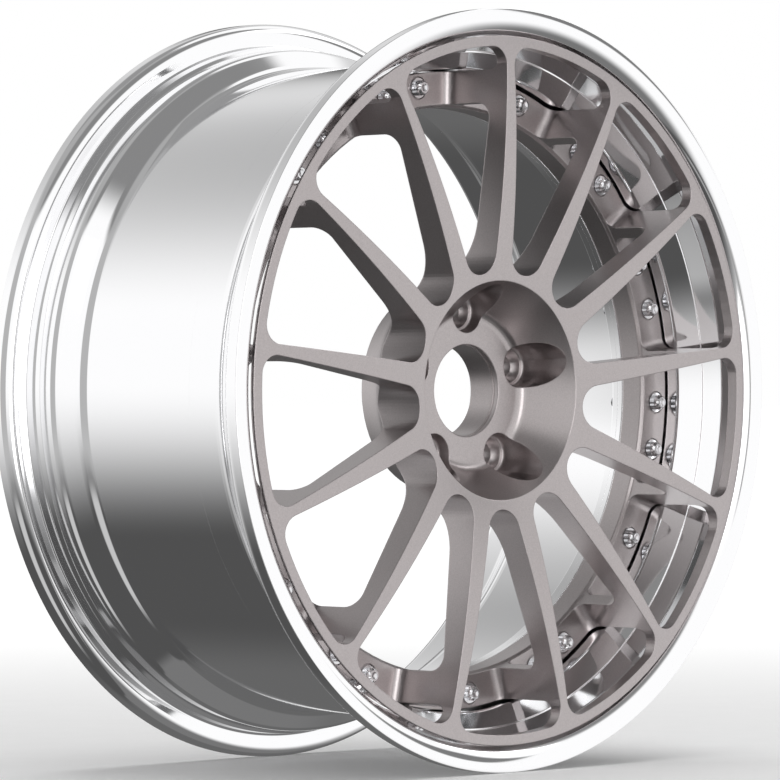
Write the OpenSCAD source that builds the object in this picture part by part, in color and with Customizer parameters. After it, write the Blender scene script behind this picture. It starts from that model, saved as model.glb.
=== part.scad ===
// Split rim wheel: a forged 13-spoke centre bolted between the two halves of a spun rim.
//
// Every piece is drawn in the wheel's own frame: x points up, y to the right as seen from the
// front, and z runs into the wheel from the plane of its front flange. A turn about z is then a
// clock angle, and a z value is a depth. stand() sets the finished piece upright, with the
// wheel's axle along Y, its front toward -Y and its middle at the origin.

/* [Rim] */
// Diameter where the tyre beads seat
bead_d = 512.8; // [505:0.1:520]
// Height of the rim flanges above the bead seats
flange_h = 17.3; // [15:0.1:19]
// Thickness of the rim flanges
flange_t = 5; // [4:0.1:6]
// Width between the rim flanges
rim_w = 241.3; // [230:0.1:260]
// Radius of the rolled front of a rim flange
roll_r = 17; // [12:0.5:20]
// Height of the rolled front, from the flange's inner edge to its top
roll_h = 15.8; // [13:0.1:19]
// Drop of the rolled front, from the flange's outer face to its inner edge
roll_drop = 4.6; // [3:0.1:6]
// Radius of the rim's broken edges
edge_r = 0.5; // [0.3:0.1:1]
// Fillet between a bead seat and its flange
heel_r = 6.5; // [5:0.5:8]
// Taper of the bead seats in degrees
seat_a = 5; // [3:0.5:8]
// Height of the safety humps above the inner end of the bead seats
hump_h = 1.6; // [0.8:0.1:2.5]
// Width of the ramp from a bead seat to its safety hump
hump_ramp = 3.5; // [2:0.1:5]
// Fillet between a bead seat and its ramp, and behind the hump
seat_fillet = 4; // [2:0.5:6]
// Fillet at the top of the ramp
hump_fillet = 2; // [1:0.5:3]
// Slope from the bead seats down to the drum in degrees
slope_a = 36; // [28:1:45]
// Depth of the drum between the bead seats, below the seats' diameter
well_depth = 18.4; // [16:0.1:22]
// Wall of the drum
rim_wall = 5.4; // [4:0.1:6.5]

/* [Outer lip] */
// Width of the front bead seat
front_seat_w = 19.5; // [17:0.5:24]
// Width of the front safety hump's crest
front_hump_w = 0.6; // [0.5:0.1:6]
// Fillet between the front slope and the drum
front_fillet = 20; // [8:1:24]
// Height of the round lead inside the lip's front edge
lead_h = 3; // [1.5:0.1:4]
// Depth of the round lead inside the lip's front edge
lead_z = 9; // [7:0.5:11]
// Slope of the lip's polished inside in degrees
lip_a = 22; // [16:0.5:26]
// Length of the polished inside past the start of the front slope
lip_past = 5.4; // [3:0.1:8]
// Step at the end of the polished inside
lip_step = 1.2; // [0.4:0.1:2]
// Fillet between the lip's inside and its drum
lip_fillet = 6; // [3:0.5:9]
// Thickness of the lip's bolting flange
lip_flange_t = 5; // [4:0.5:7]

/* [Inner barrel] */
// Width of the rear bead seat
rear_seat_w = 22.5; // [18:0.5:26]
// Width of the rear safety hump's crest
rear_hump_w = 4.6; // [1:0.1:8]
// Fillet between the rear slope and the drum
rear_fillet = 12; // [6:1:18]
// Wall under the rear bead seat
seat_wall = 6; // [5:0.1:8]
// Fillets of the barrel's inside under the rear seat and at its flange
seat_in_fillet = 8; // [4:0.5:12]
// Distance from the rear face at which the inside turns out to the flange
rear_turn = 13; // [10:0.5:16]
// Widening of the inside from the rear slope to that turn
rear_draft = 1; // [0:0.1:2]
// Thickness of the barrel's bolting flange
barrel_flange_t = 6; // [4:0.5:8]

/* [Joint] */
// Depth of the joint between the two rim halves
joint_z = 85; // [80:0.5:95]
// Width of the bolting flanges inside the drum
joint_w = 27.1; // [24:0.1:30]
// Fillets of the bolting flanges
joint_fillet = 1; // [0.5:0.1:2]
// Fillet between the barrel's bolting flange and its drum
barrel_fillet = 3; // [1:0.5:4]
// Cord of the ring seal in the joint
seal_d = 3.2; // [2:0.1:4]
// Squeeze of the ring seal in its groove
seal_squeeze = 0.8; // [0.4:0.1:1.2]
// Distance from the drum's outside to the middle of the seal
seal_in = 5; // [4:0.1:6.5]

/* [Centre] */
// Gap between the front ring and the lip's inner edge
ring_gap = 3.5; // [2:0.1:6]
// Depth of the front ring's rear
ring_back = 11; // [8:0.5:14]
// Height of the chamfer behind the front ring
ring_chamfer = 4.9; // [2:0.1:6]
// Height of the front ring's plain edge before that chamfer
ring_land = 1.7; // [1:0.1:3]
// Depth of the face at its crest
face_z = 1.3; // [0:0.1:3]
// Radius at which the face has its crest
face_r = 205; // [190:1:220]
// Radius of the face's crown
crown_r = 800; // [600:10:1200]
// Gap between the centre's bolt flange and the drum
pilot_gap = 1.6; // [0.8:0.1:3]
// Thickness of the centre's bolt flange
pad_t = 20; // [14:0.5:24]
// Radial thickness of the pillars
pillar_t = 24; // [16:0.5:26]
// Chamfer along the inner edge of the bolt pads
pad_chamfer = 1.8; // [0.5:0.1:3]
// Drop from the pads to that chamfer
pad_drop = 0.3; // [0.1:0.1:0.6]
// Radius of the pads' rear edges
pad_edge_r = 1; // [0.5:0.1:2]
// Fillet between a pillar and the front ring
notch_r = 7; // [3:0.5:9]
// Fillet of the arch between a pillar and its spoke
arch_r = 11; // [5:0.5:14]
// Fillet between the bolt pads and the pillars
pad_fillet = 8; // [4:0.5:10]

/* [Spokes] */
// Number of spokes and pillars
spokes = 13; // [11:1:14]
// Distance of the windows' inner end from the axle
window_in = 85.5; // [82:0.5:92]
// Width of a spoke at the windows' inner ends
spoke_in_w = 17.1; // [14:0.1:20]
// Width of a spoke at the windows' outer ends
spoke_out_w = 6.85; // [5:0.05:10]
// Height of the front ring around the windows
ring_h = 7.5; // [5:0.5:10]
// Radius of the windows' two outer corners
window_out_r = 13.5; // [8:0.5:16]
// Depth of the spokes' rear beside the pillars
spoke_back = 17.4; // [14:0.1:20]
// Slope of the spokes' rear in degrees
spoke_back_a = 7.2; // [3:0.1:10]
// Width of the cone between the mounting face and the spokes
root_w = 20.6; // [14:0.1:26]
// Fillet between the spokes' rear and the hub
root_fillet = 50; // [20:1:55]

/* [Hub] */
// Distance of the mounting face in front of the wheel's middle
et_offset = 45; // [38:0.5:50]
// Width of the mounting face outside the circle of wheel bolts
hub_w = 15.85; // [13:0.05:20]
// Radius of the mounting face's outer edge
hub_edge_r = 1.5; // [0.5:0.1:3]
// Diameter of the centre bore
bore_d = 66.6; // [56:0.1:72]
// Chamfer at the rear of the centre bore
bore_chamfer = 7; // [3:0.5:10]
// Chamfer at the front of the centre bore
bore_edge = 0.5; // [0.2:0.1:1]
// Depth of the hub's face inside the bowl
boss_z = 46; // [42:0.5:50]
// Diameter of the bowl at the face
bowl_d = 158; // [150:1:162]
// Diameter of the bowl at the hub's face
bowl_floor_d = 112.2; // [104:0.2:120]
// Fillet at the bottom of the bowl
bowl_fillet = 9; // [3:0.5:14]
// Distance of the groove for a hub cap's clips from the hub's face
cap_groove_in = 3; // [2:0.1:5]
// Width of the groove for a hub cap's clips
cap_groove_w = 2.5; // [1.5:0.1:4]
// Depth of the groove for a hub cap's clips
cap_groove_h = 0.9; // [0.4:0.1:1.5]
// Number of wheel bolts
lugs = 5; // [4:1:6]
// Diameter of the circle of wheel bolts
lug_circle_d = 114.3; // [108:0.1:120]
// Diameter of the wheel bolt holes
lug_hole_d = 15; // [12:0.5:17]
// Diameter of the pockets for a wheel bolt's head, at the hub's face
lug_pocket_d = 30.8; // [28:0.1:33]
// Taper of the pockets toward the front in degrees
lug_pocket_a = 7; // [3:0.5:9]
// Fillet at the bottom of the pockets
lug_pocket_fillet = 1.5; // [0.5:0.1:2.5]
// Radius of the ball seats in the pockets
lug_ball_r = 12.5; // [11:0.5:14]
// Height of a ball seat's middle above the pocket's floor
lug_ball_up = 4; // [2:0.5:6]
// Depth of the pockets below the hub's face
lug_pocket_t = 9.5; // [6:0.1:12]

/* [Assembly bolts] */
// Distance of the assembly bolts from the inside of the drum
bolt_in = 12; // [10.5:0.1:14]
// Angle between the two bolts of a pair
bolt_pair_a = 9.23; // [7:0.01:11]
// Diameter of the bolt shanks
bolt_d = 8; // [6:0.1:9]
// Clearance round a shank in its holes
bolt_clear = 0.2; // [0.1:0.05:0.5]
// Clearance between a nut's thread and a shank
thread_clear = 0.05; // [0:0.05:0.1]
// Diameter of the bolts' flange
bolt_flange_d = 14.5; // [13:0.1:15]
// Thickness of the bolts' flange
bolt_flange_t = 1.8; // [1.2:0.1:2.5]
// Diameter over the points of the splined head
bolt_head_d = 10.9; // [10:0.1:12]
// Height of the splined head above its flange
bolt_head_h = 6; // [4:0.5:8]
// Chamfer round the top of the splined head
bolt_head_chamfer = 1.5; // [0.5:0.1:2]
// Radius of the round dimple in the head's top
dimple_r = 5.7; // [4:0.1:8]
// Depth of the dimple
dimple_t = 0.7; // [0.3:0.1:1]
// Gap round a bolt's flange in its spot face
spot_gap = 0.95; // [0.4:0.05:1.5]
// Depth of the spot faces in the bolt pads
spot_t = 1.5; // [0.5:0.1:3]
// Diameter of the washers
washer_d = 16; // [14:0.5:18]
// Thickness of the washers
washer_t = 1.6; // [1:0.1:2.5]
// Width of the nuts across their flats
nut_w = 12; // [11:0.5:14]
// Height of the nuts
nut_h = 7; // [5:0.5:9]
// Diameter of the nuts' flange
nut_flange_d = 15.4; // [14:0.1:16]
// Thickness of the nuts' flange
nut_flange_t = 1.5; // [1:0.1:2]
// Length of the shanks past the nuts
bolt_past = 2.5; // [1:0.5:5]

/* [Valve] */
// Window, counted clockwise from the top, in whose middle the valve stands
valve_window = 3; // [1:1:13]
// Depth of the valve behind the rim joint
valve_back = 25; // [20:1:40]
// Diameter of the valve hole
valve_hole_d = 11.5; // [10:0.1:12.5]
// Diameter of the spot faces round the valve hole
valve_spot_d = 20; // [18:0.5:22]
// Depth of the spot faces round the valve hole
valve_spot_t = 0.4; // [0.3:0.05:0.6]
// Diameter of the stem
valve_d = 8.2; // [7.7:0.1:8.5]
// Diameter of the stem's head
valve_head_d = 16; // [14:0.5:18]
// Thickness of the stem's head
valve_head_t = 2.5; // [2:0.1:4]
// Length of the stem inside its washer
valve_l = 30; // [26:1:38]
// Thickness of the grommet under the head
grommet_t = 2.5; // [2:0.1:4]
// Gap between the grommet's neck and the stem
grommet_gap = 0.05; // [0:0.05:0.2]
// Height of the valve's nut
valve_nut_h = 5; // [4:0.5:7]
// Width of the valve's nut across its flats
valve_nut_w = 14; // [12:0.5:16]
// Diameter of the core's bore
core_d = 5; // [4.5:0.1:5.2]
// Length of the core's bore
core_l = 16; // [12:0.5:20]
// Depth of the core's front end inside the stem
core_in = 1; // [0.5:0.1:2]
// Diameter of the core's pin
pin_d = 1.2; // [0.9:0.1:1.6]
// Depth of the pin's front end inside the stem
pin_in = 0.4; // [0.2:0.1:1]
// Thickness of the sealing disc at the pin's inner end
pin_seal_t = 1.5; // [1:0.1:2.5]
// Length of the cap over the stem
cap_l = 9; // [7:0.5:11]
// Wall of the cap
cap_wall = 1.2; // [0.8:0.1:1.6]
// Thickness of the rubber disc in the cap
cap_seal_t = 1.2; // [0.8:0.1:2]

/* [Hidden] */
$fn = 96;
arc_error = 0.05;
over = 1;
sink = 0.02;

rim_r = bead_d / 2 + flange_h;
total_w = rim_w + 2 * flange_t;
bead_r = bead_d / 2;
drum_r = bead_r - well_depth;
drum_in = drum_r - rim_wall;
lip_in = rim_r - roll_h;
lip_z = flange_t + front_seat_w + hump_ramp + front_hump_w + lip_past;
joint_r = drum_in - joint_w;
seal_z = joint_z + (seal_d - seal_squeeze) / 2;
seal_r = drum_r - seal_in;
lip_face_z = joint_z - lip_flange_t;
barrel_back_z = joint_z + barrel_flange_t;

ring_r = lip_in - ring_gap;
pillar_out = drum_in - pilot_gap;
pillar_in = pillar_out - pillar_t;
pad_z = lip_face_z - pad_t;
mount_z = total_w / 2 - et_offset;
hub_r = lug_circle_d / 2 + hub_w;
root_r = hub_r + root_w;
root_z = spoke_back + (pillar_in - root_r) * tan(spoke_back_a);

// A window's long sides run along its two spokes, side_off from the axle. Its inner end is the
// round that touches both sides at window_in.
pitch = 360 / spokes;
window_out = ring_r - ring_h;
spoke_a = atan((spoke_in_w - spoke_out_w) / 2 / (window_out - window_in));
side_off = (spoke_in_w / 2 + window_in * tan(spoke_a)) * cos(spoke_a);
window_a = pitch / 2 + spoke_a;
window_apex = side_off / sin(window_a);
window_in_r = (window_in * sin(window_a) - side_off) / (1 - sin(window_a));
window_in_x = window_in + window_in_r;
corner_x = window_out - window_out_r;
corner_a = window_a - asin((window_out_r + side_off) / corner_x);

spot_z = pad_z + spot_t;
spot_r = bolt_flange_d / 2 + spot_gap;
bolt_hole_r = bolt_d / 2 + bolt_clear;
bolt_circle_r = drum_in - bolt_in;
nut_z = barrel_back_z + washer_t;
lug_floor_z = boss_z + lug_pocket_t;

valve_a = pitch * (valve_window - 0.5);
valve_z = joint_z + valve_back;
valve_out = drum_r - valve_spot_t;
valve_in = drum_in + valve_spot_t / 2;
washer_in = valve_in - washer_t;
valve_tip = washer_in - valve_l;
cap_top = valve_tip - cap_seal_t;

// Depth of the crowned face at a radius.
function face(r) = face_z + pow(face_r - r, 2) / (2 * crown_r);

// Points of an arc round a centre, from one angle to another, close enough together that no
// chord strays from the arc by more than arc_error.
function arc(c, r, from, to) =
    let (n = ceil(abs(to - from) / (2 * acos(1 - arc_error / r))))
    [for (i = [0:n]) c + r * [cos(from + (to - from) * i / n), sin(from + (to - from) * i / n)]];

function xy(p) = [p[0], p[1]];
function unit(v) = v / norm(v);
function heading(v) = atan2(v[1], v[0]);

// One corner [x, y, fillet] of an outline, between its neighbours, as a tangent arc.
function filleted(a, b, c) =
    let (
        u = unit(xy(a) - xy(b)),
        v = unit(xy(c) - xy(b)),
        half = acos(u * v) / 2,
        middle = xy(b) + unit(u + v) * b[2] / sin(half),
        side = sign(u[1] * v[0] - u[0] * v[1]),
        from = heading(u) + 90 * side
    )
    arc(middle, b[2], from, from + (180 - 2 * half) * side);

// A closed outline from its corners [x, y, fillet].
function outline(corners) =
    let (n = len(corners))
    [for (i = [0:n - 1])
        let (b = corners[i])
        each b[2] == 0 ? [xy(b)] : filleted(corners[(i + n - 1) % n], b, corners[(i + 1) % n])];

// Sharp corners from plain points.
function sharp(points) = [for (p = points) [p[0], p[1], 0]];

// Tyre side of a rim half as corners of radius and distance from that half's outer face.
function tyre_side(seat_w, hump_w, fillet) =
    let (
        roll_x = lip_in + sqrt(pow(roll_r, 2) - pow(roll_r - roll_drop, 2)),
        seat_end = flange_t + seat_w,
        seat_r = bead_r - seat_w * tan(seat_a),
        hump_r = seat_r + hump_h,
        slope_start = seat_end + hump_ramp + hump_w
    )
    concat(
        sharp(arc([roll_x, roll_r], roll_r,
            -180 + acos((roll_x - lip_in) / roll_r), -acos((rim_r - roll_x) / roll_r))),
        [
            [rim_r, flange_t, edge_r],
            [bead_r, flange_t, heel_r],
            [seat_r, seat_end, seat_fillet],
            [hump_r, seat_end + hump_ramp, hump_fillet],
            [hump_r, slope_start, seat_fillet],
            [drum_r, slope_start + (hump_r - drum_r) / tan(slope_a), fillet]
        ]);

module outer_lip_profile() {
    cone_r = lip_in - lead_h - (lip_z - lead_z) * tan(lip_a);
    slope_end = lip_z + (cone_r - lip_step - drum_in) / tan(slope_a);
    polygon(outline(concat(
        tyre_side(front_seat_w, front_hump_w, front_fillet),
        [
            [drum_r, joint_z, 0],
            [joint_r, joint_z, 0],
            [joint_r, lip_face_z, joint_fillet],
            [drum_in, lip_face_z, joint_fillet],
            [drum_in, slope_end, lip_fillet],
            [cone_r - lip_step, lip_z, 0],
            [cone_r, lip_z, 0],
            [lip_in - lead_h, lead_z, lead_h]
        ])));
}

module inner_barrel_profile() {
    rear = tyre_side(rear_seat_w, rear_hump_w, rear_fillet);
    drum_end = total_w - rear[len(rear) - 1][1];
    seat_in = bead_r - rear_seat_w * tan(seat_a) - seat_wall;
    slope_start = drum_end + rim_wall * tan(slope_a / 2);
    polygon(outline(concat(
        [for (p = rear) [p[0], total_w - p[1], p[2]]],
        [
            [drum_r, joint_z, 0],
            [joint_r, joint_z, 0],
            [joint_r, barrel_back_z, joint_fillet],
            [drum_in, barrel_back_z, barrel_fillet],
            [drum_in, slope_start, rear_fillet + rim_wall],
            [seat_in, slope_start + (seat_in - drum_in) / tan(slope_a), seat_in_fillet],
            [seat_in + rear_draft, total_w - rear_turn, seat_in_fillet]
        ])));
}

// Cord of the ring seal, squeezed flat between the groove's floor and the other flange.
module seal_profile() {
    translate([seal_r, seal_z])
        intersection() {
            circle(d = seal_d);
            square([seal_d + over, seal_d - seal_squeeze], center = true);
        }
}

module seal_groove() {
    rotate_extrude()
        translate([seal_r, seal_z - over / 2])
            square([seal_d, seal_d - seal_squeeze + over], center = true);
}

// Section through a spoke, its pillar and the bolt flange, before the windows are cut.
module centre_profile() {
    face_steps = 24;
    bowl_r = bowl_d / 2;
    bore_r = bore_d / 2;
    groove_z = boss_z + cap_groove_in;
    pad_in = pillar_in - pad_chamfer;
    polygon(outline(concat(
        [for (i = [0:face_steps])
            let (r = bowl_r + (ring_r - bowl_r) * i / face_steps)
            [r, face(r), 0]],
        [
            [ring_r, face(ring_r) + ring_land, 0],
            [ring_r - ring_chamfer, ring_back, 0],
            [pillar_out, ring_back, notch_r],
            [pillar_out, lip_face_z, pad_edge_r],
            [pad_in, lip_face_z, pad_edge_r],
            [pad_in, pad_z + pad_drop + pad_chamfer, 0],
            [pillar_in, pad_z + pad_drop, 0],
            [pillar_in, spoke_back, arch_r],
            [root_r, root_z, root_fillet],
            [hub_r, mount_z, hub_edge_r],
            [bore_r + bore_chamfer, mount_z, 0],
            [bore_r, mount_z - bore_chamfer, 0],
            [bore_r, groove_z + cap_groove_w, 0],
            [bore_r + cap_groove_h, groove_z + cap_groove_w, 0],
            [bore_r + cap_groove_h, groove_z, 0],
            [bore_r, groove_z, 0],
            [bore_r, boss_z + bore_edge, 0],
            [bore_r + bore_edge, boss_z, 0],
            [bowl_floor_d / 2, boss_z, bowl_fillet]
        ])));
}

// Plan of one window, along x: a wedge with a round inner end and two round outer corners.
module window_plan() {
    inner = arc([window_in_x, 0], window_in_r, 90 + window_a, 270 - window_a);
    corner = corner_x * [cos(corner_a), sin(corner_a)];
    below = arc([corner[0], -corner[1]], window_out_r, -90 - window_a, -corner_a);
    outer = arc([0, 0], window_out, -corner_a, corner_a);
    above = arc(corner, window_out_r, corner_a, 90 + window_a);
    polygon(concat(inner, below, [for (i = [1:len(outer) - 2]) outer[i]], above));
}

// Concave fillets along a window's two long sides, which stay between pad and pillar.
module pad_fillets() {
    for (s = [0, 1])
        mirror([0, s, 0])
            translate([window_apex, sink, pad_z + sink])
                rotate([0, 0, window_a])
                    rotate([90, 0, 90])
                        linear_extrude(height = rim_r)
                            polygon(concat(
                                [[over, over], [-pad_fillet, over]],
                                arc([-pad_fillet, -pad_fillet], pad_fillet, 90, 0),
                                [[over, -pad_fillet]]));
}

module window_cut() {
    difference() {
        translate([0, 0, -over])
            linear_extrude(height = pad_z + over)
                window_plan();
        pad_fillets();
    }
}

// Turns copies of what is drawn at the top to every spoke, or to every window between them.
module at_spokes() {
    for (i = [0:spokes - 1])
        rotate([0, 0, pitch * i])
            children();
}

module at_windows() {
    rotate([0, 0, pitch / 2])
        at_spokes()
            children();
}

// Moves what is drawn on the z axis to each assembly bolt.
module at_bolts() {
    at_windows()
        for (s = [-1, 1])
            rotate([0, 0, s * bolt_pair_a / 2])
                translate([bolt_circle_r, 0, 0])
                    children();
}

// Turns what is drawn along z, by distance from the axle, to the valve's place.
module at_valve() {
    rotate([0, 0, valve_a])
        translate([0, 0, valve_z])
            rotate([0, 90, 0])
                children();
}

module at_lugs() {
    for (i = [0:lugs - 1])
        rotate([0, 0, 360 / lugs * i])
            translate([lug_circle_d / 2, 0, 0])
                children();
}

// Sets a piece upright with the wheel's middle at the origin.
module stand() {
    translate([0, -total_w / 2, 0])
        rotate([-90, 0, 0])
            rotate([0, 0, -90])
                children();
}

// Tapered pocket for a wheel bolt's head, with a ball seat and the bolt's hole below it.
module lug_cut() {
    front_r = lug_pocket_d / 2 + (boss_z + over) * tan(lug_pocket_a);
    floor_r = lug_pocket_d / 2 - lug_pocket_t * tan(lug_pocket_a);
    rotate_extrude()
        polygon(outline([
            [0, -over, 0],
            [front_r, -over, 0],
            [floor_r, lug_floor_z, lug_pocket_fillet],
            [0, lug_floor_z, 0]
        ]));
    translate([0, 0, lug_floor_z - lug_ball_up])
        sphere(r = lug_ball_r);
    cylinder(h = mount_z + over, d = lug_hole_d);
}

module centre() {
    stand()
        color([0.70, 0.66, 0.65])
            difference() {
                rotate_extrude($fn = 180)
                    centre_profile();
                at_windows()
                    window_cut();
                at_lugs()
                    lug_cut();
                at_bolts() {
                    translate([0, 0, pad_z - over])
                        cylinder(h = spot_t + over, r = spot_r);
                    translate([0, 0, pad_z])
                        cylinder(h = pad_t + over, r = bolt_hole_r);
                }
            }
}

module outer_lip() {
    stand()
        color([0.86, 0.86, 0.87])
            difference() {
                rotate_extrude($fn = 180)
                    outer_lip_profile();
                at_bolts()
                    translate([0, 0, lip_face_z - over])
                        cylinder(h = lip_flange_t + 2 * over, r = bolt_hole_r);
            }
}

module inner_barrel() {
    stand()
        color([0.80, 0.81, 0.83])
            difference() {
                rotate_extrude($fn = 180)
                    inner_barrel_profile();
                seal_groove();
                at_bolts()
                    translate([0, 0, joint_z - over])
                        cylinder(h = barrel_flange_t + 2 * over, r = bolt_hole_r);
                at_valve() {
                    translate([0, 0, drum_in - rim_wall])
                        cylinder(h = 3 * rim_wall, d = valve_hole_d);
                    translate([0, 0, valve_out])
                        cylinder(h = rim_wall, d = valve_spot_d);
                    translate([0, 0, valve_in - rim_wall])
                        cylinder(h = rim_wall, d = valve_spot_d);
                }
            }
}

// Twelve-point head: two hexagons a twelfth of a turn apart, with a chamfered, dimpled top.
module splined_head() {
    top_r = bolt_head_d / 2 - bolt_head_chamfer;
    cone_h = bolt_head_h + over;
    difference() {
        intersection() {
            for (a = [0, 30])
                rotate([0, 0, a])
                    cylinder(h = bolt_head_h, d = bolt_head_d, $fn = 6);
            translate([0, 0, bolt_head_h - cone_h])
                cylinder(h = cone_h, r1 = top_r + cone_h, r2 = top_r);
        }
        translate([0, 0, bolt_head_h + dimple_r - dimple_t])
            sphere(r = dimple_r);
    }
}

module assembly_bolts() {
    shank_end = nut_z + nut_h + bolt_past;
    stand()
        color([0.88, 0.88, 0.90])
            at_bolts()
                translate([0, 0, spot_z])
                    mirror([0, 0, 1]) {
                        translate([0, 0, bolt_flange_t])
                            splined_head();
                        cylinder(h = bolt_flange_t, d = bolt_flange_d);
                        translate([0, 0, spot_z - shank_end])
                            cylinder(h = shank_end - spot_z + over, d = bolt_d);
                    }
}

module bolt_washers() {
    stand()
        color([0.72, 0.73, 0.75])
            at_bolts()
                translate([0, 0, barrel_back_z])
                    difference() {
                        cylinder(h = washer_t, d = washer_d);
                        translate([0, 0, -over])
                            cylinder(h = washer_t + 2 * over, r = bolt_hole_r);
                    }
}

module assembly_nuts() {
    stand()
        color([0.72, 0.73, 0.75])
            at_bolts()
                translate([0, 0, nut_z])
                    difference() {
                        union() {
                            cylinder(h = nut_h, d = nut_w / cos(30), $fn = 6);
                            cylinder(h = nut_flange_t, d = nut_flange_d);
                        }
                        translate([0, 0, -over])
                            cylinder(h = nut_h + 2 * over, r = bolt_d / 2 + thread_clear);
                    }
}

module rim_seal() {
    stand()
        color([0.08, 0.08, 0.08])
            rotate_extrude($fn = 180)
                seal_profile();
}

module valve_stem() {
    stand()
        color([0.75, 0.75, 0.77])
            at_valve()
                difference() {
                    union() {
                        translate([0, 0, valve_out + grommet_t])
                            cylinder(h = valve_head_t, d = valve_head_d);
                        translate([0, 0, valve_tip])
                            cylinder(h = valve_out + grommet_t + over - valve_tip, d = valve_d);
                    }
                    translate([0, 0, valve_tip - over])
                        cylinder(h = core_l + over, d = core_d);
                    cylinder(h = rim_r, d = core_d / 2);
                }
}

module valve_grommet() {
    neck_l = valve_out - valve_in;
    stand()
        color([0.07, 0.07, 0.07])
            at_valve()
                difference() {
                    union() {
                        translate([0, 0, valve_out])
                            cylinder(h = grommet_t, d = valve_head_d);
                        translate([0, 0, valve_in])
                            cylinder(h = neck_l + over, d = valve_hole_d - 2 * grommet_gap);
                    }
                    cylinder(h = rim_r, d = valve_d + 2 * grommet_gap);
                }
}

module valve_washer() {
    stand()
        color([0.72, 0.73, 0.75])
            at_valve()
                translate([0, 0, washer_in])
                    difference() {
                        cylinder(h = washer_t, d = valve_head_d);
                        translate([0, 0, -over])
                            cylinder(h = washer_t + 2 * over, d = valve_d + 2 * bolt_clear);
                    }
}

module valve_nut() {
    stand()
        color([0.75, 0.75, 0.77])
            at_valve()
                translate([0, 0, washer_in - valve_nut_h])
                    difference() {
                        cylinder(h = valve_nut_h, d = valve_nut_w / cos(30), $fn = 6);
                        translate([0, 0, -over])
                            cylinder(h = valve_nut_h + 2 * over, d = valve_d + 2 * thread_clear);
                    }
}

module valve_core() {
    stand()
        color([0.70, 0.58, 0.32])
            at_valve()
                translate([0, 0, valve_tip])
                    difference() {
                        translate([0, 0, core_in])
                            cylinder(h = core_l - core_in, d = core_d - 2 * thread_clear);
                        cylinder(h = core_l + over, d = pin_d + 2 * thread_clear);
                    }
}

module valve_pin() {
    stand()
        color([0.80, 0.80, 0.82])
            at_valve()
                translate([0, 0, valve_tip]) {
                    translate([0, 0, pin_in])
                        cylinder(h = core_l + pin_seal_t - pin_in, d = pin_d);
                    translate([0, 0, core_l])
                        cylinder(h = pin_seal_t, d = core_d / 2 - 2 * thread_clear);
                }
}

module valve_cap() {
    stand()
        color([0.75, 0.75, 0.77])
            at_valve()
                difference() {
                    translate([0, 0, cap_top - cap_wall])
                        cylinder(h = cap_wall + cap_seal_t + cap_l, d = valve_d + 2 * cap_wall);
                    translate([0, 0, cap_top])
                        cylinder(h = cap_seal_t + cap_l + over, d = valve_d + 2 * thread_clear);
                }
}

module cap_seal() {
    stand()
        color([0.10, 0.10, 0.10])
            at_valve()
                translate([0, 0, cap_top])
                    cylinder(h = cap_seal_t, d = valve_d);
}

centre();
outer_lip();
inner_barrel();
assembly_bolts();
bolt_washers();
assembly_nuts();
rim_seal();
valve_stem();
valve_grommet();
valve_washer();
valve_nut();
valve_core();
valve_pin();
valve_cap();
cap_seal();
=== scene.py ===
"""Looks of the split rim wheel: mirror-polished rim halves, a satin metallic centre and its bolts.

The wheel stands upright: Y is the axle with the front toward -Y, Z is up, and the origin is the
wheel's middle. Sizes are millimetres, as radius r and depth d behind the plane of the front
flange, until place() turns them into the frame's metres.
"""

import math

import bpy
import numpy as np
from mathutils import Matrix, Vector

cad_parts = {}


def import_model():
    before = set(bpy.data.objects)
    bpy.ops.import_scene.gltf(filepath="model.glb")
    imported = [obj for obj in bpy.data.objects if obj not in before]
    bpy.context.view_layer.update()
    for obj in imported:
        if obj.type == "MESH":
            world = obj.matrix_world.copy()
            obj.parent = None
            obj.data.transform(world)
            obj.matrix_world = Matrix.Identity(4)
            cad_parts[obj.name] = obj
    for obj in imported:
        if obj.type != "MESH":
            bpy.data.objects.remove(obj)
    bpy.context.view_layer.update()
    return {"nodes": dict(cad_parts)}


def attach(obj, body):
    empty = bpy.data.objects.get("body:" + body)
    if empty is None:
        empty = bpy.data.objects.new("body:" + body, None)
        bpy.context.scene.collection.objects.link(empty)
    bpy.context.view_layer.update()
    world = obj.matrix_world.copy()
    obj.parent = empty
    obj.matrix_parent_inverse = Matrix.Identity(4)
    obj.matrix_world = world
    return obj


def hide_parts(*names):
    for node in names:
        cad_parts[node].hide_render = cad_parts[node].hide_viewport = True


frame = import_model()
nodes = frame["nodes"]

MM = 0.001

# Rim, as the part's source has it, apart from the lip's cone and the barrel's inside slope, which
# follow the photo.
BEAD_R = 256.4
RIM_R = 273.7
TOTAL_W = 251.3
ROLL_R = 17.0
LIP_IN = 257.9
ROLL_DROP = 4.6
SEAT_TAN = math.tan(math.radians(5))
SLOPE_TAN = math.tan(math.radians(36))
DRUM_R = 238.0
WALL = 5.4
DRUM_IN = DRUM_R - WALL
JOINT_D = 85.0
JOINT_R = 205.5
JOINT_EDGE_R = 0.05
LIP_FACE_D = 80.0
LIP_SEAT_W = 19.5
LIP_WALL = 2.8
LIP_D = 34.0
LIP_STEP = 1.2
CONE_H = 7.1
CONE_TAN = math.tan(math.radians(30))
BARREL_BACK_D = 91.0
BARREL_SEAT_W = 22.5
BARREL_WALL = 6.0
BARREL_SLOPE_IN = 58.6
EDGE_R = 0.5

# The tyre's side of both rim halves as the photo shows it, from each half's outer face: the
# flange's curl and back face, then where the bead seat ends and the shelf behind it begins.
CURL_R = 8.6
FACE_D = 16.1
SEAT_END = (255.7, 24.9)
SHELF = (253.4, 27.2)
# Behind that, where the shelf ends and its fillet, then where the slope ends and its fillet.
LIP_WELL = (31.0, 6.0, 53.4, 20.0)
BARREL_WELL = (41.7, 7.9, 55.4, 11.4)

# Largest turn of a fillet from one profile point to the next.
ARC_STEP = math.radians(9)


# Shapes

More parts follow.
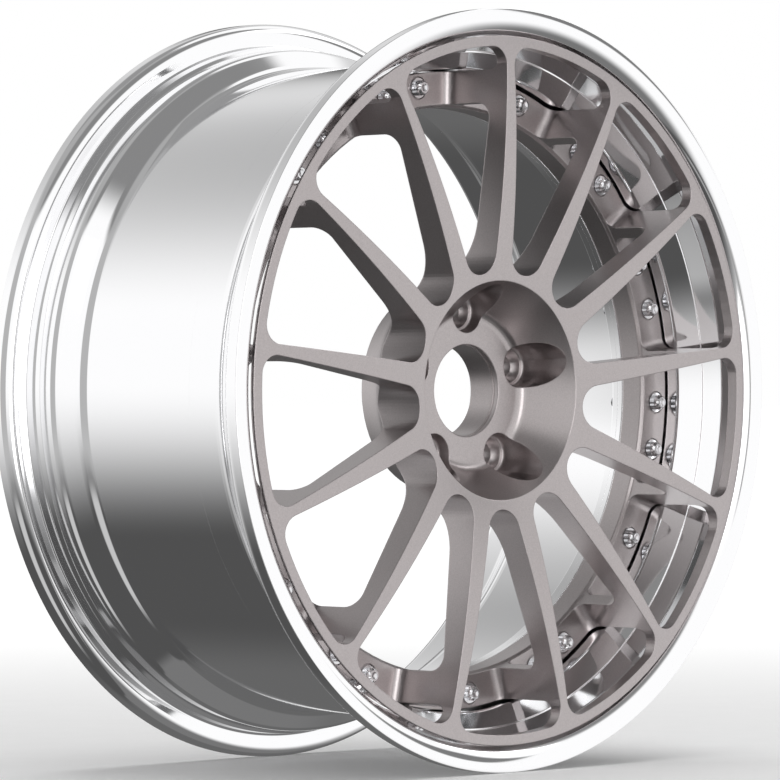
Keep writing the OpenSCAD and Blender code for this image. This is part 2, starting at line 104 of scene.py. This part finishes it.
def filleted(corners):
    """Closed outline from corners (r, d, fillet): each corner becomes a tangent arc of that
    fillet, and a corner with no fillet stays sharp."""
    points = []
    count = len(corners)
    for i, (x, y, radius) in enumerate(corners):
        here = np.array([x, y])
        if radius == 0:
            points.append(here)
            continue
        back = np.array(corners[i - 1][:2]) - here
        ahead = np.array(corners[(i + 1) % count][:2]) - here
        back /= np.linalg.norm(back)
        ahead /= np.linalg.norm(ahead)
        half = math.acos(np.clip(back @ ahead, -1, 1)) / 2
        middle = here + (back + ahead) / np.linalg.norm(back + ahead) * radius / math.sin(half)
        side = np.sign(back[1] * ahead[0] - back[0] * ahead[1])
        start = math.atan2(back[1], back[0]) + math.pi / 2 * side
        sweep = (math.pi - 2 * half) * side
        steps = max(2, math.ceil(abs(sweep) / ARC_STEP))
        turn = start + sweep * np.linspace(0, 1, steps + 1)
        points.extend(middle + radius * np.stack([np.cos(turn), np.sin(turn)], 1))
    return np.array(points)


def arc_corners(middle, radius, start, end, steps):
    """Points of an arc as sharp corners (r, d, 0), from angle start to end in degrees."""
    turn = np.radians(np.linspace(start, end, steps + 1))
    return [(middle[0] + radius * math.cos(a), middle[1] + radius * math.sin(a), 0) for a in turn]


def held(points, gap=0.3):
    """Adds a point just inside both ends of each long side, so that shading stays flat along it."""
    ahead = np.roll(points, -1, 0) - points
    length = np.linalg.norm(ahead, axis=1, keepdims=True)
    unit = ahead / np.maximum(length, 1e-9)
    rows = np.stack([points, points + unit * gap, points + ahead - unit * gap], 1)
    keep = np.ones(rows.shape[:2], bool)
    keep[:, 1:] = length > 6 * gap
    return rows[keep]


def place(r, t, d):
    """Metres in the frame from radius, clock angle (clockwise from the top) and depth."""
    return np.stack([r * np.sin(t), d - TOTAL_W / 2, r * np.cos(t)], -1) * MM


def mesh_from(name, points, faces, material):
    """An object at the origin from arrays of points (metres) and four-cornered faces."""
    mesh = bpy.data.meshes.new(name)
    mesh.vertices.add(len(points))
    mesh.vertices.foreach_set("co", np.asarray(points, np.float32).ravel())
    mesh.loops.add(faces.size)
    mesh.loops.foreach_set("vertex_index", faces.ravel().astype(np.int32))
    mesh.polygons.add(len(faces))
    width = faces.shape[1]
    mesh.polygons.foreach_set("loop_start", np.arange(0, faces.size, width, dtype=np.int32))
    mesh.update(calc_edges=True)
    mesh.validate()
    mesh.shade_smooth()
    mesh.materials.append(material)
    obj = bpy.data.objects.new(name, mesh)
    bpy.context.scene.collection.objects.link(obj)
    return obj


def ring_faces(rows, columns):
    """Faces of a grid that closes on itself both ways."""
    i, j = np.meshgrid(np.arange(rows), np.arange(columns), indexing="ij")
    k, m = (i + 1) % rows, (j + 1) % columns
    corners = [i * columns + j, i * columns + m, k * columns + m, k * columns + j]
    return np.stack(corners, -1).reshape(-1, 4)


def volume(points, faces):
    """Signed volume of a closed mesh: positive where its faces point outwards."""
    a, b, c, d = (points[faces[:, n]] for n in range(4))
    first = np.einsum("ij,ij->i", a, np.cross(b, c)).sum()
    return (first + np.einsum("ij,ij->i", a, np.cross(c, d)).sum()) / 6


def lathe(name, profile, material, segments=640):
    """Closed profile (r, d) carried round the axle: point (i, j) is profile point j at angle i."""
    t = np.linspace(0, 2 * math.pi, segments, endpoint=False)[:, None]
    r, d = profile[:, 0][None, :], profile[:, 1][None, :]
    points = place(r + 0 * t, t + 0 * r, d + 0 * t).reshape(-1, 3)
    faces = ring_faces(segments, len(profile))
    if volume(points, faces) < 0:
        faces = faces[:, ::-1]
    return mesh_from(name, points, faces, material)


def tyre_side(shelf_end, shelf_fillet, slope_end, slope_fillet):
    """Outside of a rim half as corners of radius and distance from that half's outer face: rolled
    front, curled flange, bead seat, shelf behind it and slope down to the drum."""
    roll_x = LIP_IN + math.sqrt(ROLL_R ** 2 - (ROLL_R - ROLL_DROP) ** 2)
    start = -180 + math.degrees(math.acos((roll_x - LIP_IN) / ROLL_R))
    end = -math.degrees(math.acos((RIM_R - roll_x) / ROLL_R))
    roll = arc_corners((roll_x, ROLL_R), ROLL_R, start, end, 12)
    roll[0] = roll[0][:2] + (EDGE_R,)
    roll[-1] = roll[-1][:2] + (EDGE_R,)
    return roll + [
        (RIM_R, FACE_D, CURL_R),
        (BEAD_R + 0.6, FACE_D, 1.5),
        (*SEAT_END, 0.5),
        (*SHELF, 0.4),
        (SHELF[0], shelf_end, shelf_fillet),
        (DRUM_R, slope_end, slope_fillet),
    ]


def lip_profile():
    """Outer lip: tyre side, bolting flange, then the polished inside back to the front edge."""
    front_in = BEAD_R - LIP_SEAT_W * SEAT_TAN - LIP_WALL
    cone_in = front_in - CONE_H
    slope_end = LIP_D + (cone_in - LIP_STEP - DRUM_IN) / SLOPE_TAN
    return held(filleted(tyre_side(*LIP_WELL) + [
        (DRUM_R, JOINT_D, JOINT_EDGE_R),
        (JOINT_R, JOINT_D, JOINT_EDGE_R),
        (JOINT_R, LIP_FACE_D, 1),
        (DRUM_IN, LIP_FACE_D, 1),
        (DRUM_IN, slope_end, 6),
        (cone_in - LIP_STEP, LIP_D, 0.3),
        (cone_in, LIP_D, 0.3),
        (front_in, LIP_D - CONE_H / CONE_TAN, 4),
        (LIP_IN - 3, 9, 3),
    ]))


def barrel_profile():
    """Inner barrel: tyre side from the rear flange, bolting flange, then its inside."""
    rear = [(r, TOTAL_W - d, f) for r, d, f in tyre_side(*BARREL_WELL)]
    slope_start = TOTAL_W - BARREL_SLOPE_IN
    seat_in = BEAD_R - BARREL_SEAT_W * SEAT_TAN - BARREL_WALL
    return held(filleted(rear + [
        (DRUM_R, JOINT_D, JOINT_EDGE_R),
        (JOINT_R, JOINT_D, JOINT_EDGE_R),
        (JOINT_R, BARREL_BACK_D, 1),
        (DRUM_IN, BARREL_BACK_D, 3),
        (DRUM_IN, slope_start, 12 + WALL),
        (seat_in, slope_start + (seat_in - DRUM_IN) / SLOPE_TAN, 8),
        (seat_in + 1, TOTAL_W - 13, 8),
    ]))


# Materials

def linear(hex_colour):
    """sRGB hex to linear RGBA."""
    c = np.array([int(hex_colour[i:i + 2], 16) / 255 for i in (1, 3, 5)])
    rgb = np.where(c <= 0.04045, c / 12.92, ((c + 0.055) / 1.055) ** 2.4)
    return (*rgb, 1.0)


def add(tree, kind, inputs=None, **settings):
    """Adds a node, sets its properties, and sets or links each input (by name or number)."""
    node = tree.nodes.new(kind)
    for name, value in settings.items():
        setattr(node, name, value)
    for key, value in (inputs or {}).items():
        if isinstance(value, bpy.types.NodeSocket):
            tree.links.new(value, node.inputs[key])
        else:
            node.inputs[key].default_value = value
    return node


def grain_scale(size_mm):
    """Noise scale that gives grains of a size in millimetres."""
    return 1 / (size_mm * MM)


def new_material(name):
    """An empty node material with its output."""
    material = bpy.data.materials.new(name)
    material.use_nodes = True
    tree = material.node_tree
    tree.nodes.clear()
    output = tree.nodes.new("ShaderNodeOutputMaterial")
    return material, tree, output


def turned_coordinates(tree):
    """Radius, depth and a slow turn of a point as a vector: noise on it is drawn out round the
    axle, as lathe marks are."""
    position = add(tree, "ShaderNodeTexCoord").outputs["Object"]
    split = add(tree, "ShaderNodeSeparateXYZ", {0: position})
    across = add(tree, "ShaderNodeCombineXYZ", {0: split.outputs[0], 1: split.outputs[2]})
    radius = add(tree, "ShaderNodeVectorMath", {0: across.outputs[0]}, operation="LENGTH")
    angle = add(tree, "ShaderNodeMath", {0: split.outputs[0], 1: split.outputs[2]},
                operation="ARCTAN2")
    slow = add(tree, "ShaderNodeMath", {0: angle.outputs[0], 1: 0.004}, operation="MULTIPLY")
    return add(tree, "ShaderNodeCombineXYZ", {0: radius.outputs["Value"],
                                              1: split.outputs[1],
                                              2: slow.outputs[0]}).outputs[0]


def polished_aluminium():
    """Spun aluminium polished to a mirror: clean white reflections, faint rings from the lathe."""
    material, tree, output = new_material("polished_spun_aluminium")
    turned = turned_coordinates(tree)
    rings = add(tree, "ShaderNodeTexNoise", {"Vector": turned, "Scale": grain_scale(1.111),
                                             "Detail": 2.0})
    cloud = add(tree, "ShaderNodeTexNoise", {
        "Vector": add(tree, "ShaderNodeTexCoord").outputs["Object"],
        "Scale": grain_scale(55.56), "Detail": 3.0})
    rough = add(tree, "ShaderNodeMapRange", {"Value": cloud.outputs["Fac"], "From Min": 0.3,
                                             "From Max": 0.7, "To Min": 0.045, "To Max": 0.065})
    bump = add(tree, "ShaderNodeBump", {"Height": rings.outputs["Fac"], "Strength": 0.02,
                                        "Distance": 0.02 * MM})
    shader = add(tree, "ShaderNodeBsdfPrincipled", {
        "Base Color": linear("#FDFDFE"), "Metallic": 1.0, "Roughness": rough.outputs[0],
        "Normal": bump.outputs[0]})
    tree.links.new(shader.outputs[0], output.inputs["Surface"])
    return material


def satin_centre():
    """Forged aluminium under warm grey metallic satin paint: even sheen, a fine grain of flakes,
    and edges broken by about a millimetre that catch the light."""
    material, tree, output = new_material("satin_metallic_paint")
    position = add(tree, "ShaderNodeTexCoord").outputs["Object"]
    flakes = add(tree, "ShaderNodeTexNoise", {"Vector": position, "Scale": grain_scale(0.909),
                                              "Detail": 2.0, "Roughness": 0.6})
    colour = add(tree, "ShaderNodeMix", {"Factor": flakes.outputs["Fac"],
                                         "A": linear("#A59F9F"), "B": linear("#C6BFBF")},
                 data_type="RGBA")
    broken = add(tree, "ShaderNodeBevel", {"Radius": 1.2 * MM}, samples=6)
    bump = add(tree, "ShaderNodeBump", {"Height": flakes.outputs["Fac"], "Strength": 0.12,
                                        "Distance": 0.05 * MM, "Normal": broken.outputs[0]})
    shader = add(tree, "ShaderNodeBsdfPrincipled", {
        "Base Color": colour.outputs["Result"], "Metallic": 1.0, "Roughness": 0.3,
        "Normal": bump.outputs[0]})
    tree.links.new(shader.outputs[0], output.inputs["Surface"])
    return material


def plain_metal(name, colour, roughness, grain_mm=0.4):
    """Small turned parts: one metal colour with a fine grain in its roughness."""
    material, tree, output = new_material(name)
    grain = add(tree, "ShaderNodeTexNoise", {
        "Vector": add(tree, "ShaderNodeTexCoord").outputs["Object"],
        "Scale": grain_scale(grain_mm), "Detail": 2.0})
    rough = add(tree, "ShaderNodeMapRange", {"Value": grain.outputs["Fac"],
                                             "To Min": roughness * 0.8, "To Max": roughness * 1.3})
    shader = add(tree, "ShaderNodeBsdfPrincipled", {
        "Base Color": linear(colour), "Metallic": 1.0, "Roughness": rough.outputs[0]})
    tree.links.new(shader.outputs[0], output.inputs["Surface"])
    return material


def black_rubber():
    """Moulded rubber: matt black with a slight bloom."""
    material, tree, output = new_material("moulded_rubber")
    bloom = add(tree, "ShaderNodeTexNoise", {
        "Vector": add(tree, "ShaderNodeTexCoord").outputs["Object"], "Scale": grain_scale(2.5)})
    colour = add(tree, "ShaderNodeMix", {"Factor": bloom.outputs["Fac"],
                                         "A": linear("#141414"), "B": linear("#242424")},
                 data_type="RGBA")
    shader = add(tree, "ShaderNodeBsdfPrincipled", {
        "Base Color": colour.outputs["Result"], "Roughness": 0.7})
    tree.links.new(shader.outputs[0], output.inputs["Surface"])
    return material


# The wheel

chrome = polished_aluminium()
satin = satin_centre()
bolt_metal = plain_metal("polished_stainless_steel", "#E6E6E8", 0.12)
zinc = plain_metal("zinc_plated_steel", "#B9BBBE", 0.3)
nickel = plain_metal("nickel_plated_brass", "#C9C8C4", 0.2)
brass = plain_metal("brass", "#B5965A", 0.3)
rubber = black_rubber()

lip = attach(lathe("outer_lip_polished", lip_profile(), chrome), "root")
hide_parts("outer_lip")
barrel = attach(lathe("inner_barrel_polished", barrel_profile(), chrome), "root")
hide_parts("inner_barrel")

finishes = {"centre": satin, "assembly_bolts": bolt_metal, "bolt_washers": zinc,
            "assembly_nuts": zinc, "rim_seal": rubber, "valve_stem": nickel,
            "valve_grommet": rubber, "valve_washer": nickel, "valve_nut": nickel,
            "valve_core": brass, "valve_pin": zinc, "valve_cap": nickel, "cap_seal": rubber}
for name, finish in finishes.items():
    node = nodes[name]
    node.data.materials.clear()
    node.data.materials.append(finish)


# Studio

FLOOR_Z = -RIM_R * MM
# The camera that fits the photo.
CAMERA_PLACE = (-2.73867, -2.71380, 0.00042)
CAMERA_HEADING = math.radians(44.72076)
LENS = 242.678
# White glow that the camera sees on top of the lit floor, near the wheel and far off, and where.
# The glow is weak near the wheel, which paints shade on the floor around it.
FLOOR_GLOW_PAINTED_SHADE = (0.05, 0.32)
PAINTED_SHADE_REACH = (0.5, 2.4)
# Level of the soft light from all round.
SOFT_LEVEL = 0.35
# Screens that mirrors see, in degrees: azimuth from the rear turning right, then elevation. Each
# has four edges, where it begins, is full, is full still and ends, and a brightness (1 is white).
SCREENS = [
    ((-108, -103, -50, -46), (-30, -8, 42, 50), 0.46),
    ((-120, -105, -65, -50), (-78, -62, -34, -24), 0.55),
    ((0, 28, 72, 95), (-91, -90, 10, 38), 0.13),
    ((-22, -12, 60, 70), (44, 52, 89, 90), 0.3),
    ((114, 118, 130, 132), (7, 11, 22, 27), 0.2),
    ((-179, -177, -173, -171), (-50, -40, 12, 20), 0.35),
    ((58, 64, 100, 108), (36, 42, 68, 74), 1.0),
    ((-168, -160, -148, -140), (-20, -10, 26, 36), 3.2),
    ((92, 100, 122, 130), (27, 31, 41, 45), 2.4),
]


def ramp(tree, value, start, end, low=0.0, high=1.0):
    """Smooth step of a value between two limits, given low to high."""
    return add(tree, "ShaderNodeMapRange", {"Value": value, "From Min": start, "From Max": end,
                                            "To Min": low, "To Max": high},
               interpolation_type="SMOOTHSTEP").outputs[0]


def product(tree, *factors):
    """Product of two or more values."""
    result = factors[0]
    for factor in factors[1:]:
        result = add(tree, "ShaderNodeMath", {0: result, 1: factor},
                     operation="MULTIPLY").outputs[0]
    return result


def studio_floor():
    """A wide white floor that carries the wheel's soft shadow. The camera sees its own white glow
    on top of the lit one, so that it runs out into the background with no horizon. The glow is
    weaker near the wheel, which paints shade around it."""
    half = 60.0
    corners = np.array([(-half, -half, FLOOR_Z), (half, -half, FLOOR_Z),
                        (half, half, FLOOR_Z), (-half, half, FLOOR_Z)])
    material, tree, output = new_material("studio_floor")
    grain = add(tree, "ShaderNodeTexNoise", {
        "Vector": add(tree, "ShaderNodeTexCoord").outputs["Object"], "Scale": grain_scale(33.33)})
    colour = add(tree, "ShaderNodeMix", {"Factor": grain.outputs["Fac"],
                                         "A": linear("#F2F2F2"), "B": linear("#F6F6F6")},
                 data_type="RGBA")
    diffuse = add(tree, "ShaderNodeBsdfDiffuse", {"Color": colour.outputs["Result"]})
    seen = add(tree, "ShaderNodeLightPath").outputs["Is Camera Ray"]
    away = add(tree, "ShaderNodeVectorMath", {
        0: add(tree, "ShaderNodeTexCoord").outputs["Object"]}, operation="LENGTH")
    # Painted shade: the camera's glow is low near the wheel and rises far off, so the floor round
    # the wheel renders darker.
    rise = ramp(tree, away.outputs["Value"], *PAINTED_SHADE_REACH, *FLOOR_GLOW_PAINTED_SHADE)
    level = add(tree, "ShaderNodeMath", {0: seen, 1: rise}, operation="MULTIPLY")
    glow_and_painted_shade = add(tree, "ShaderNodeEmission", {"Strength": level.outputs[0]})
    both = add(tree, "ShaderNodeAddShader", {0: diffuse.outputs[0], 1: glow_and_painted_shade.outputs[0]})
    tree.links.new(both.outputs[0], output.inputs["Surface"])
    floor = mesh_from("floor", corners, np.array([[0, 1, 2, 3]]), material)
    floor.visible_glossy = False


def world():
    """White all round for the camera, a soft white for diffuse light, and for mirrors the room:
    white at eye level, grey overhead, dark toward the floor, with the screens set in it."""
    scene_world = bpy.data.worlds.new("studio")
    bpy.context.scene.world = scene_world
    scene_world.use_nodes = True
    tree = scene_world.node_tree
    tree.nodes.clear()
    output = tree.nodes.new("ShaderNodeOutputWorld")
    direction = add(tree, "ShaderNodeTexCoord").outputs["Generated"]
    axes = add(tree, "ShaderNodeSeparateXYZ", {0: direction})
    turn = add(tree, "ShaderNodeMath", {0: axes.outputs[0], 1: axes.outputs[1]},
               operation="ARCTAN2")
    azimuth = add(tree, "ShaderNodeMath", {0: turn.outputs[0]}, operation="DEGREES").outputs[0]
    rise = add(tree, "ShaderNodeMath", {0: axes.outputs[2]}, operation="ARCSINE")
    elevation = add(tree, "ShaderNodeMath", {0: rise.outputs[0]}, operation="DEGREES").outputs[0]

    front = product(tree, ramp(tree, azimuth, 60, 100), ramp(tree, azimuth, 172, 180, 1, 0))
    low_side = ramp(tree, elevation, -34, 2, 0.08, 1.0)
    low_front = ramp(tree, elevation, -42, -14, 0.18, 1.0)
    high = ramp(tree, elevation, 18, 52, 1.0, 0.4)
    high_front = ramp(tree, elevation, 40, 50, 1.0, 0.24)
    ahead = ramp(tree, axes.outputs[1], 0.0, -0.25)
    floor_level = add(tree, "ShaderNodeMix", {"Factor": front, "A": low_side, "B": low_front})
    ceiling = add(tree, "ShaderNodeMix", {"Factor": ahead, "A": high, "B": high_front})
    level = product(tree, floor_level.outputs[0], ceiling.outputs[0])
    for az, el, grey in SCREENS:
        shape = product(tree, ramp(tree, azimuth, az[0], az[1]),
                        ramp(tree, azimuth, az[2], az[3], 1, 0),
                        ramp(tree, elevation, el[0], el[1]),
                        ramp(tree, elevation, el[2], el[3], 1, 0))
        level = add(tree, "ShaderNodeMix", {"Factor": shape, "A": level, "B": grey}).outputs[0]

    path = add(tree, "ShaderNodeLightPath")
    clear = add(tree, "ShaderNodeMath", {0: path.outputs["Is Camera Ray"],
                                         1: path.outputs["Is Transmission Ray"]},
                operation="MAXIMUM")
    room = add(tree, "ShaderNodeMix", {"Factor": path.outputs["Is Glossy Ray"],
                                       "A": SOFT_LEVEL, "B": level})
    strength = add(tree, "ShaderNodeMix", {"Factor": clear.outputs[0], "A": room.outputs[0],
                                           "B": 1.0})
    light = add(tree, "ShaderNodeBackground", {"Color": (1, 1, 1, 1),
                                               "Strength": strength.outputs[0]})
    tree.links.new(light.outputs[0], output.inputs["Surface"])


def overhead(name, where, strength, spread):
    """A far, wide lamp that shines on the origin from a place in metres, spread in degrees."""
    data = bpy.data.lights.new(name, "SUN")
    data.energy = strength
    data.angle = math.radians(spread)
    lamp = bpy.data.objects.new(name, data)
    bpy.context.scene.collection.objects.link(lamp)
    lamp.location = where
    lamp.rotation_euler = Vector(where).to_track_quat("Z", "Y").to_euler()
    lamp.visible_glossy = False


def camera():
    """The photo's camera: a long lens level with the wheel's middle."""
    data = bpy.data.cameras.new("camera")
    data.lens = LENS
    data.sensor_width = 36
    data.clip_end = 200
    eye = bpy.data.objects.new("camera", data)
    bpy.context.scene.collection.objects.link(eye)
    eye.location = CAMERA_PLACE
    eye.rotation_euler = (math.radians(90), 0, CAMERA_HEADING - math.radians(90))
    bpy.context.scene.camera = eye


studio_floor()
world()
overhead("key", (0.6, 0.2, 4.0), 1.1, 50)
overhead("fill", (-1.0, -2.5, 3.5), 0.5, 90)
camera()
bpy.context.scene.view_settings.view_transform = "Standard"
